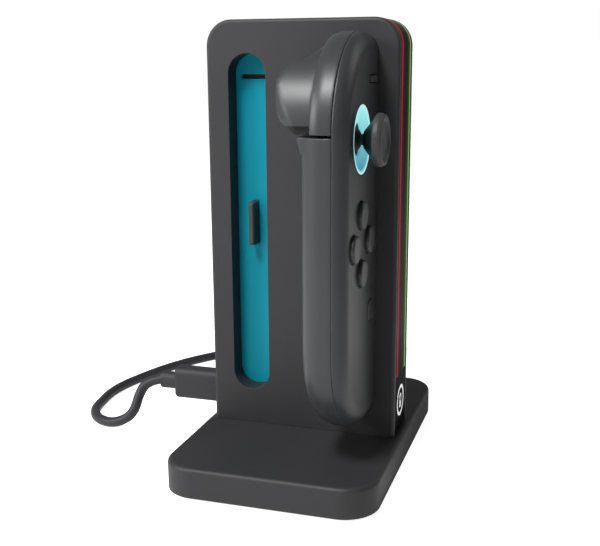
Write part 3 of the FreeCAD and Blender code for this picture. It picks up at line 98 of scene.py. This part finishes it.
def make_moulded_grain():
    """Broad uneven tone, and a fine spark-eroded grain as a bump over softened edges."""
    group, given, made = new_group(
        "moulded_grain",
        (("Grain", 0.0005), ("Depth", 0.2), ("Edge", 0.0003)),
        (("Tone", "NodeSocketFloat"), ("Edge Mask", "NodeSocketFloat"), ("Normal", "NodeSocketVector")),
    )
    place = group.nodes.new("ShaderNodeTexCoord")
    fine = group.nodes.new("ShaderNodeTexNoise")
    fine.inputs["Detail"].default_value = 4.0
    fine.inputs["Roughness"].default_value = 0.65
    group.links.new(place.outputs["Object"], fine.inputs["Vector"])
    group.links.new(arithmetic(group, "DIVIDE", 1.0, given.outputs["Grain"]), fine.inputs["Scale"])
    broad = group.nodes.new("ShaderNodeTexNoise")
    broad.inputs["Scale"].default_value = 45.0
    broad.inputs["Detail"].default_value = 3.0
    group.links.new(place.outputs["Object"], broad.inputs["Vector"])
    soft = group.nodes.new("ShaderNodeBevel")
    soft.samples = 6
    group.links.new(given.outputs["Edge"], soft.inputs["Radius"])
    bump = group.nodes.new("ShaderNodeBump")
    bump.inputs["Distance"].default_value = 0.00006
    group.links.new(given.outputs["Depth"], bump.inputs["Strength"])
    group.links.new(fine.outputs["Fac"], bump.inputs["Height"])
    group.links.new(soft.outputs["Normal"], bump.inputs["Normal"])
    flat = group.nodes.new("ShaderNodeNewGeometry")
    same = group.nodes.new("ShaderNodeVectorMath")
    same.operation = "DOT_PRODUCT"
    group.links.new(soft.outputs["Normal"], same.inputs[0])
    group.links.new(flat.outputs["Normal"], same.inputs[1])
    turned = arithmetic(group, "SUBTRACT", 1.0, same.outputs["Value"])
    group.links.new(arithmetic(group, "MULTIPLY", turned, 4.0), made.inputs["Edge Mask"])
    group.links.new(broad.outputs["Fac"], made.inputs["Tone"])
    group.links.new(bump.outputs["Normal"], made.inputs["Normal"])
    return group


GRAIN = make_moulded_grain()


def bare_material(name):
    """A new material with its tree and its Principled shader."""
    made = bpy.data.materials.new(name)
    made.use_nodes = True
    return made, made.node_tree, made.node_tree.nodes["Principled BSDF"]


def blended(tree, share, first, second):
    """A colour mix by share. The share and either colour are sockets or values."""
    mix = tree.nodes.new("ShaderNodeMix")
    mix.data_type = "RGBA"
    mix.clamp_factor = True
    sockets = (mix.inputs["Factor"], mix.inputs["A"], mix.inputs["B"])
    for socket, value in zip(sockets, (share, first, second)):
        if isinstance(value, bpy.types.NodeSocket):
            tree.links.new(value, socket)
        elif isinstance(value, (int, float)):
            socket.default_value = value
        else:
            socket.default_value = (*value, 1)
    return mix.outputs["Result"]


def brighter(colour, times):
    return tuple(min(part * times, 1.0) for part in colour)


def moulded(name, colour, roughness, grain, depth, edge):
    """A moulded surface. Gives its material, tree, shader and colour socket."""
    made, tree, shader = bare_material(name)
    look = tree.nodes.new("ShaderNodeGroup")
    look.node_tree = GRAIN
    look.inputs["Grain"].default_value = grain
    look.inputs["Depth"].default_value = depth
    look.inputs["Edge"].default_value = edge
    toned = blended(tree, look.outputs["Tone"], brighter(colour, 0.88), brighter(colour, 1.14))
    # Edges are lightened towards twice the colour: partly wear, and partly a painted highlight along them.
    edge_wear_and_highlight = arithmetic(tree, "MULTIPLY", look.outputs["Edge Mask"], 0.35)
    surface_colour = blended(tree, edge_wear_and_highlight, toned, brighter(colour, 2.0))
    tree.links.new(surface_colour, shader.inputs["Base Color"])
    uneven = arithmetic(tree, "MULTIPLY", look.outputs["Tone"], 0.1)
    tree.links.new(arithmetic(tree, "ADD", uneven, roughness - 0.05), shader.inputs["Roughness"])
    tree.links.new(look.outputs["Normal"], shader.inputs["Normal"])
    shader.inputs["Specular IOR Level"].default_value = 0.3
    return made, tree, shader, surface_colour


def plastic(name, colour, roughness, grain=0.0005, depth=0.2, edge=0.0003):
    return moulded(name, colour, roughness, grain, depth, edge)[0]


def metal(name, colour, roughness, grain=0.0009, depth=0.15):
    made, _, shader, _ = moulded(name, colour, roughness, grain, depth, 0.00015)
    shader.inputs["Metallic"].default_value = 1.0
    return made


def finish(material, *names):
    """Gives CAD nodes their material."""
    for name in names:
        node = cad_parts[name]
        for place in node.material_slots:
            place.material = material


STAND_GREY = (0.0215, 0.021, 0.0225)
BLACK = (0.012, 0.012, 0.013)

stand_plastic = plastic("stand moulding", STAND_GREY, 0.52, 0.0004, 0.28)
rubber = plastic("rubber", (0.016, 0.016, 0.017), 0.8, 0.0003, 0.5)
steel = metal("bright steel", (0.55, 0.55, 0.56), 0.3)
finish(stand_plastic, "base_cover", "base_plate")
finish(rubber, "rubber_feet")
finish(steel, "base_screws", "ballast_plate")

# ---------------------------------------------------------------- tower
# Two matching mouldings meet at the middle of the tower, on three posts. A block at
# the foot takes four screws from the base. The board between them carries the chips.

solder_mask = plastic("solder mask", (0.012, 0.03, 0.022), 0.35, 0.0012, 0.1)
chip_black = plastic("chip moulding", (0.02, 0.02, 0.021), 0.6, 0.0003, 0.3)
lamp_clear = plastic("lamp lens", (0.75, 0.8, 0.72), 0.2, 0.001, 0.05)
finish(stand_plastic, "front_panel", "rear_panel", "tower_foot")
finish(steel, "tower_screws")
finish(solder_mask, "main_board", "pad_board")
finish(chip_black, "board_parts")
finish(lamp_clear, "status_leds")

# ---------------------------------------------------------------- light band
# A polished black acrylic band goes over both sides and the top. Thin clear guides are
# let into it: red by the docked controller, green by the bays that aren't charging.
# Some of their light spreads inside the acrylic, beside each line.

LINE_Y = 0.0055
LINE_FOOT = 0.0280
GLOW_REACH = 0.0013
RED_LINE = (0.30, 0.012, 0.024)
GREEN_LINE = (0.15, 0.30, 0.06)


def make_line_glow():
    """How near a point is to each side's line, 1 on it and fading outwards."""
    group, _, made = new_group(
        "line_glow", (), (("Front Right", "NodeSocketFloat"), ("Others", "NodeSocketFloat"))
    )
    place = group.nodes.new("ShaderNodeTexCoord")
    parts = group.nodes.new("ShaderNodeSeparateXYZ")
    group.links.new(place.outputs["Object"], parts.inputs[0])
    x, y = parts.outputs["X"], parts.outputs["Y"]
    lit = arithmetic(group, "GREATER_THAN", parts.outputs["Z"], LINE_FOOT)

    def near(line_y):
        away = arithmetic(group, "ABSOLUTE", arithmetic(group, "SUBTRACT", y, line_y), 0)
        share = arithmetic(group, "DIVIDE", away, GLOW_REACH)
        spread = arithmetic(group, "POWER", math.e, arithmetic(group, "MULTIPLY", share, -1.0))
        return arithmetic(group, "MULTIPLY", spread, lit)

    front, behind = near(-LINE_Y), near(LINE_Y)
    right = arithmetic(group, "GREATER_THAN", x, 0.0)
    left = arithmetic(group, "SUBTRACT", 1.0, right)
    others = arithmetic(group, "ADD", arithmetic(group, "MULTIPLY", front, left), behind)
    group.links.new(arithmetic(group, "MULTIPLY", front, right), made.inputs["Front Right"])
    group.links.new(others, made.inputs["Others"])
    return group


def glowing_acrylic():
    """Polished black, with the lines' light spreading beside them."""
    made, tree, shader, _ = moulded("band acrylic", (0.008, 0.008, 0.009), 0.12, 0.002, 0.02, 0.0002)
    glow = tree.nodes.new("ShaderNodeGroup")
    glow.node_tree = make_line_glow()
    red = blended(tree, glow.outputs["Front Right"], (0, 0, 0), RED_LINE)
    both = blended(tree, glow.outputs["Others"], red, GREEN_LINE)
    tree.links.new(both, shader.inputs["Emission Color"])
    shader.inputs["Emission Strength"].default_value = 0.5
    shader.inputs["IOR"].default_value = 1.03
    return made


def lit_guide(name, colour, strength):
    """A clear light guide with its lamp's colour, a little uneven along its length."""
    made, tree, shader, _ = moulded(name, brighter(colour, 0.6), 0.25, 0.001, 0.05, 0.0001)
    uneven = tree.nodes.new("ShaderNodeTexNoise")
    uneven.inputs["Scale"].default_value = 30.0
    lit = blended(tree, uneven.outputs["Fac"], brighter(colour, 0.85), brighter(colour, 1.15))
    tree.links.new(lit, shader.inputs["Emission Color"])
    shader.inputs["Emission Strength"].default_value = strength
    shader.inputs["IOR"].default_value = 1.03
    return made


finish(glowing_acrylic(), "side_band")
finish(lit_guide("red guide", RED_LINE, 1.0), "light_line_charging")
finish(lit_guide("green guide", GREEN_LINE, 1.0), "light_lines_charged")
mark_white, mark_tree, mark_shader, mark_colour = moulded(
    "printed mark", (0.85, 0.85, 0.85), 0.45, 0.0006, 0.06, 0.00005
)
# The printed mark glows with its own colour: painted light that brightens the print.
mark_tree.links.new(mark_colour, mark_shader.inputs["Emission Color"])
mark_shader.inputs["Emission Strength"].default_value = 0.45
finish(mark_white, "charge_mark")

# ---------------------------------------------------------------- bays
# Each bay's floor is a separate glossy blue-green moulding. A connector tongue of
# black nylon with gold-plated strips stands in it, and magnets lie behind it.

BAY_BLUE = (0.003, 0.18, 0.245)

bay_blue, bay_tree, bay_shader, bay_colour = moulded(
    "bay floor moulding", BAY_BLUE, 0.4, 0.0007, 0.08, 0.0003
)
# The floor glows faintly with its own colour: painted light that brightens it.
bay_tree.links.new(bay_colour, bay_shader.inputs["Emission Color"])
bay_shader.inputs["Emission Strength"].default_value = 0.1
bay_shader.inputs["Specular IOR Level"].default_value = 0.1
gold = metal("contact gold", (0.9, 0.62, 0.24), 0.25)
finish(bay_blue, "bay_floors")
finish(plastic("tongue nylon", (0.03, 0.03, 0.032), 0.45, 0.0004, 0.2), "bay_tongues")
finish(gold, "bay_contacts")
finish(metal("magnet nickel", (0.6, 0.6, 0.58), 0.22), "bay_magnets")

# ---------------------------------------------------------------- port and plugs
# The port is a folded steel shell on the board. Both plugs have matt PVC grips, moulded
# round the cord in one piece with their strain reliefs, and drawn steel shells.

plug_grip = plastic("plug grip", (0.021, 0.021, 0.023), 0.55, 0.0004, 0.35)
finish(steel, "usb_port", "usb_plug_shell", "far_plug_shell")
finish(plug_grip, "usb_plug_body", "far_plug_body")


def woven(name, colour, pitch):
    """A woven band: fine ribs across it, made uneven by the wave's distortion."""
    made, tree, shader = bare_material(name)
    place = tree.nodes.new("ShaderNodeTexCoord")
    ribs = tree.nodes.new("ShaderNodeTexWave")
    ribs.inputs["Scale"].default_value = 0.3 / pitch
    ribs.inputs["Distortion"].default_value = 0.6
    tree.links.new(place.outputs["Object"], ribs.inputs["Vector"])
    bump = tree.nodes.new("ShaderNodeBump")
    bump.inputs["Distance"].default_value = 0.0002
    bump.inputs["Strength"].default_value = 0.7
    tree.links.new(ribs.outputs["Fac"], bump.inputs["Height"])
    tree.links.new(bump.outputs["Normal"], shader.inputs["Normal"])
    # The colour is lighter on the ribs and darker between them: painted light and shade that follow the rib
    # bumps.
    rib_light_and_shade = blended(tree, ribs.outputs["Fac"], brighter(colour, 0.6), brighter(colour, 1.6))
    tree.links.new(rib_light_and_shade, shader.inputs["Base Color"])
    shader.inputs["Roughness"].default_value = 0.95
    return made


# ---------------------------------------------------------------- cord
# A round charging cord in a smooth black jacket, moulded into its plug at the
# left side. It drops to the surface, makes a loose loop and goes behind the
# stand, where the rest is wound flat, three turns wide and two high.

CORD_THICK = 0.0034
COIL_MIDDLE = (-0.0340, 0.0756)
COIL_POINTS = 24
TURN_RADII = (0.02305, 0.0196, 0.01615)
COIL_START = math.radians(126.0)
STEP_IN = (0.70, 0.90)
CLIMB = (0.45, 0.65)
STEP_OUT = (0.25, 0.45)

LEAD = [
    (-0.0532, 0.0, 0.01745),
    (-0.0579, -0.0007, 0.0165),
    (-0.0607, -0.0024, 0.0128),
    (-0.0616, -0.0058, 0.0056),
    (-0.0686, -0.0066, 0.0019),
    (-0.0764, -0.0042, 0.0017),
    (-0.0819, 0.0027, 0.0017),
    (-0.0838, 0.0107, 0.0017),
    (-0.0859, 0.0251, 0.0017),
    (-0.0819, 0.0424, 0.0017),
    (-0.0760, 0.0586, 0.0017),
    (-0.0668, 0.0732, 0.0017),
    (-0.0583, 0.0826, 0.0017),
    (-0.0512, 0.0894, 0.0017),
]
TAIL = [
    (-0.0400, 0.0978, 0.0051),
    (-0.0330, 0.1006, 0.0046),
    (-0.0245, 0.1040, 0.0037),
]


def eased(share, span):
    """0 before the span, 1 after it, and smooth between."""
    at = min(max((share - span[0]) / (span[1] - span[0]), 0.0), 1.0)
    return at * at * (3 - 2 * at)


def coil_point(turns):
    """Where the cord is after that many turns, on its way in and then out."""
    whole = min(int(turns), 5)
    share = turns - whole
    low, high = CORD_THICK / 2, CORD_THICK * 1.5
    outer, middle, inner = TURN_RADII
    if whole == 0:
        radius, height = outer + (middle - outer) * eased(share, STEP_IN), low
    elif whole == 1:
        radius, height = middle + (inner - middle) * eased(share, STEP_IN), low
    elif whole == 2:
        radius, height = inner, low + (high - low) * eased(share, CLIMB)
    elif whole == 3:
        radius, height = inner + (middle - inner) * eased(share, STEP_OUT), high
    elif whole == 4:
        radius, height = middle + (outer - middle) * eased(share, STEP_OUT), high
    else:
        radius, height = outer, high
    angle = COIL_START - turns * math.tau
    x, y = COIL_MIDDLE
    return (x + radius * math.cos(angle), y + radius * math.sin(angle), height)


WOUND = [coil_point(number / COIL_POINTS) for number in range(5 * COIL_POINTS + 1)]

jacket = bpy.data.curves.new("cord", "CURVE")
jacket.dimensions = "3D"
line = jacket.splines.new("NURBS")
route = LEAD + WOUND + TAIL
line.points.add(len(route) - 1)
for point, place in zip(line.points, route):
    point.co = (*place, 1.0)
line.order_u = 3
line.use_endpoint_u = True
line.resolution_u = 6
jacket.bevel_depth = CORD_THICK / 2
jacket.bevel_resolution = 6
cord = bpy.data.objects.new("cord", jacket)
bpy.context.scene.collection.objects.link(cord)
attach(cord, "dock")
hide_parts("cord_run", "cord_coil", "cord_tail")
jacket.materials.append(plastic("cord jacket", (0.020, 0.020, 0.022), 0.46, 0.0004, 0.12))

# The strap is a woven hook-and-loop band that goes once round the coil's left side.

TIE_HALF = 0.0025
TIE_THICK = 0.0009
BUNDLE = (-0.0536, 0.0034, 0.0052, 0.0034)


def tie_ring(out, y):
    """A rounded loop round the bundle, out beyond it, at one depth."""
    middle_x, middle_z, half_x, half_z = BUNDLE
    corner = 0.0012 + out
    points = []
    for turn in range(4):
        quarter = turn * math.pi / 2
        side_x = 1 if turn in (0, 3) else -1
        side_z = 1 if turn in (0, 1) else -1
        centre_x = middle_x + side_x * (half_x + out - corner)
        centre_z = middle_z + side_z * (half_z + out - corner)
        for step in range(5):
            angle = quarter + step * math.pi / 8
            across, up = centre_x + corner * math.cos(angle), centre_z + corner * math.sin(angle)
            points.append((across, y, max(up, 0.0)))
    return points


tie_mesh = bpy.data.meshes.new("cord_tie_strap")
rings = [
    tie_ring(out, COIL_MIDDLE[1] + side * TIE_HALF)
    for out, side in ((0, -1), (TIE_THICK, -0.92), (TIE_THICK, 0.92), (0, 1))
]
count = len(rings[0])
tie_mesh.from_pydata(
    [point for ring in rings for point in ring],
    [],
    [
        (
            row * count + number,
            row * count + (number + 1) % count,
            (row + 1) % 4 * count + (number + 1) % count,
            (row + 1) % 4 * count + number,
        )
        for row in range(4)
        for number in range(count)
    ],
)
strap = bpy.data.objects.new("cord_tie_strap", tie_mesh)
bpy.context.scene.collection.objects.link(strap)
tie_mesh.materials.append(woven("strap weave", (0.018, 0.018, 0.02), 0.0006))
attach(strap, "dock")
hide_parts("cord_tie")


def line_length(piece):
    """The length along a curve's own line."""
    bare = piece.data.copy()
    bare.bevel_depth = 0
    probe = bpy.data.objects.new("probe", bare)
    mesh = bpy.data.meshes.new_from_object(probe)
    total = sum(
        (mesh.vertices[a].co - mesh.vertices[b].co).length for a, b in (edge.vertices for edge in mesh.edges)
    )
    bpy.data.objects.remove(probe)
    bpy.data.curves.remove(bare)
    bpy.data.meshes.remove(mesh)
    return total


print("cord length", round(line_length(cord), 4))

# ---------------------------------------------------------------- controller case
# Two halves of dark grey glass-filled nylon, screwed from behind. Their faces have a
# soft satin grain. The rail is a coloured moulding, with its socket behind it.

PAD_GREY = (0.031, 0.032, 0.034)

pad_plastic = plastic("controller moulding", PAD_GREY, 0.36, 0.0003, 0.22, 0.0006)
finish(pad_plastic, "pad_rear_shell", "pad_front_shell")
finish(plastic("rail moulding", (0.02, 0.16, 0.36), 0.4, 0.0004, 0.12), "pad_rail")
finish(chip_black, "pad_rail_socket")
finish(steel, "pad_screws", "keeper_plates")

# ---------------------------------------------------------------- inside the controller
# A foil-wrapped flat battery and a vibration unit in a steel can share the grip.
# The board's buttons close through a rubber mat.

finish(plastic("battery wrap", (0.3, 0.3, 0.32), 0.3, 0.002, 0.4), "pad_battery")
finish(steel, "rumble_motor", "stick_housing", "hinge_pins")
finish(rubber, "button_mat")
finish(lamp_clear, "player_lights")

# ---------------------------------------------------------------- buttons
# The buttons are hard mouldings with crisp satin tops, each held in by its flange.

button_black = plastic("button moulding", (0.036, 0.036, 0.038), 0.34, 0.0003, 0.12, 0.0004)
finish(button_black, *(f"direction_button_{way}" for way in ("up", "right", "down", "left")))
finish(button_black, "minus_button", "capture_button", "release_button")
finish(plastic("rail button", BLACK, 0.4), "side_button_lower", "side_button_upper", "sync_button")

# ---------------------------------------------------------------- stick
# The ring round the stick is a frosted light guide, lit pale blue from behind. The
# stick has a rubber cap on a hard shaft, and its black dome closes the ring's hole.

RING_TOP = (0.40, 1.0, 0.96)
RING_FOOT = (0.035, 0.22, 0.32)
RING_RIM_HIGHLIGHT = (0.60, 1.0, 1.0)


def near_black_before(name, colour, roughness, edge, axis, place):
    """Moulded, in one colour beyond a place on an axis and in black before it."""
    made, tree, shader, upper = moulded(name, colour, roughness, 0.0003, 0.2, edge)
    coordinates = tree.nodes.new("ShaderNodeTexCoord")
    parts = tree.nodes.new("ShaderNodeSeparateXYZ")
    tree.links.new(coordinates.outputs["Object"], parts.inputs[0])
    before = arithmetic(tree, "LESS_THAN", parts.outputs[axis], place)
    tree.links.new(blended(tree, before, upper, (0.002, 0.002, 0.002)), shader.inputs["Base Color"])
    return made


def lit_ring():
    """Frosted and lit: paler towards the top, with a painted highlight round its outer rim."""
    low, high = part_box("stick_ring")
    made, tree, shader, _ = moulded("lit ring", RING_FOOT, 0.35, 0.0008, 0.08, 0.0002)
    place = tree.nodes.new("ShaderNodeTexCoord")
    parts = tree.nodes.new("ShaderNodeSeparateXYZ")
    tree.links.new(place.outputs["Object"], parts.inputs[0])
    span = tree.nodes.new("ShaderNodeMapRange")
    span.inputs["From Min"].default_value = low[2]
    span.inputs["From Max"].default_value = high[2]
    tree.links.new(parts.outputs["Z"], span.inputs["Value"])
    lit = blended(tree, span.outputs["Result"], RING_FOOT, RING_TOP)
    radius = (high[2] - low[2]) / 2
    across = arithmetic(tree, "SUBTRACT", parts.outputs["Y"], (low[1] + high[1]) / 2)
    up = arithmetic(tree, "SUBTRACT", parts.outputs["Z"], (low[2] + high[2]) / 2)
    square = arithmetic(tree, "MULTIPLY", across, across)
    out = arithmetic(tree, "SQRT", arithmetic(tree, "ADD", square, arithmetic(tree, "MULTIPLY", up, up)), 0)
    # Towards the outer rim the colour goes to a pale edge colour: a painted highlight.
    rim_highlight = tree.nodes.new("ShaderNodeMapRange")
    rim_highlight.inputs["From Min"].default_value = radius * 0.86
    rim_highlight.inputs["From Max"].default_value = radius * 0.97
    tree.links.new(out, rim_highlight.inputs["Value"])
    tree.links.new(blended(tree, rim_highlight.outputs["Result"], lit, RING_RIM_HIGHLIGHT), shader.inputs["Emission Color"])
    shader.inputs["Emission Strength"].default_value = 0.8
    return made


finish(lit_ring(), "stick_ring")
stick_black = plastic("stick black", (0.006, 0.006, 0.007), 0.6)
finish(stick_black, "stick_frame", "stick_yoke", "stick_boot", "stick_shaft")
# The cap is painted near black below a place along its axis: painted shade under the cap.
low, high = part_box("stick_cap")
CAP_SHADE_LINE = low[0] + (high[0] - low[0]) * 0.58
finish(near_black_before("stick cap rubber", (0.04, 0.04, 0.042), 0.5, 0.0005, "X", CAP_SHADE_LINE), "stick_cap")

# ---------------------------------------------------------------- shoulder pieces
# The shoulder button and the trigger are thin mouldings on steel pins. The trigger is grey above a height
# near its foot and near black below it.

FOOT_EDGE = 0.1066


finish(near_black_before("trigger moulding", PAD_GREY, 0.36, 0.0020, "Z", FOOT_EDGE), "trigger")
finish(pad_plastic, "shoulder_button")

# ---------------------------------------------------------------- surface and light
# A plain white sheet that the stand is on, a wide soft light from the upper left, and
# two weaker ones. The room is white where it is seen, and dimmer overhead as a light.

SHEET_SIZE = 6.0

ground_mesh = bpy.data.meshes.new("surface")
half = SHEET_SIZE / 2
ground_mesh.from_pydata(
    [(-half, -half, 0), (half, -half, 0), (half, half, 0), (-half, half, 0)], [], [(0, 1, 2, 3)]
)
surface = bpy.data.objects.new("surface", ground_mesh)
bpy.context.scene.collection.objects.link(surface)
white = bpy.data.materials.new("white sheet")
white.use_nodes = True
white.node_tree.nodes["Principled BSDF"].inputs["Base Color"].default_value = (0.9, 0.9, 0.9, 1)
white.node_tree.nodes["Principled BSDF"].inputs["Roughness"].default_value = 0.8
white.node_tree.nodes["Principled BSDF"].inputs["Emission Color"].default_value = (1, 1, 1, 1)
white_shown = white.node_tree.nodes.new("ShaderNodeLightPath")
white_glow = arithmetic(white.node_tree, "MULTIPLY", white_shown.outputs["Is Camera Ray"], 0.75)
white_lift = arithmetic(white.node_tree, "ADD", white_glow, 0.12)
white.node_tree.links.new(white_lift, white.node_tree.nodes["Principled BSDF"].inputs["Emission Strength"])
ground_mesh.materials.append(white)


def soft_light(name, place, aim, size, power):
    """A square soft box that faces a point."""
    lamp = bpy.data.lights.new(name, "AREA")
    lamp.size = size
    lamp.energy = power
    holder = bpy.data.objects.new(name, lamp)
    bpy.context.scene.collection.objects.link(holder)
    way = Vector(aim) - Vector(place)
    holder.matrix_world = Matrix.Translation(place) @ way.to_track_quat("-Z", "Y").to_matrix().to_4x4()


MIDDLE = (0.0, 0.0, 0.08)
soft_light("key", (-0.50, -0.38, 0.34), MIDDLE, 0.28, 3.4)
soft_light("front", (-0.12, -0.38, 0.62), MIDDLE, 0.16, 5.4)
soft_light("behind", (0.45, 0.35, 0.45), MIDDLE, 0.35, 0.55)

room = bpy.data.worlds.new("room")
bpy.context.scene.world = room
room.use_nodes = True
room_tree = room.node_tree
shown = room_tree.nodes["Background"]
shown.inputs["Color"].default_value = (1, 1, 1, 1)
seen = room_tree.nodes.new("ShaderNodeLightPath")
direction = room_tree.nodes.new("ShaderNodeTexCoord")
height = room_tree.nodes.new("ShaderNodeSeparateXYZ")
room_tree.links.new(direction.outputs["Generated"], height.inputs[0])
fade = room_tree.nodes.new("ShaderNodeMapRange")
fade.inputs["From Min"].default_value = 0.0
fade.inputs["From Max"].default_value = 0.8
fade.inputs["To Min"].default_value = 0.5
fade.inputs["To Max"].default_value = 0.10
room_tree.links.new(height.outputs["Z"], fade.inputs["Value"])
aside = room_tree.nodes.new("ShaderNodeMapRange")
aside.inputs["From Min"].default_value = -0.3
aside.inputs["From Max"].default_value = 0.8
aside.inputs["To Min"].default_value = 1.0
aside.inputs["To Max"].default_value = 0.2
room_tree.links.new(height.outputs["X"], aside.inputs["Value"])
glow = arithmetic(room_tree, "MULTIPLY", fade.outputs["Result"], aside.outputs["Result"])
strength = arithmetic(room_tree, "MAXIMUM", glow, seen.outputs["Is Camera Ray"])
room_tree.links.new(strength, shown.inputs["Strength"])
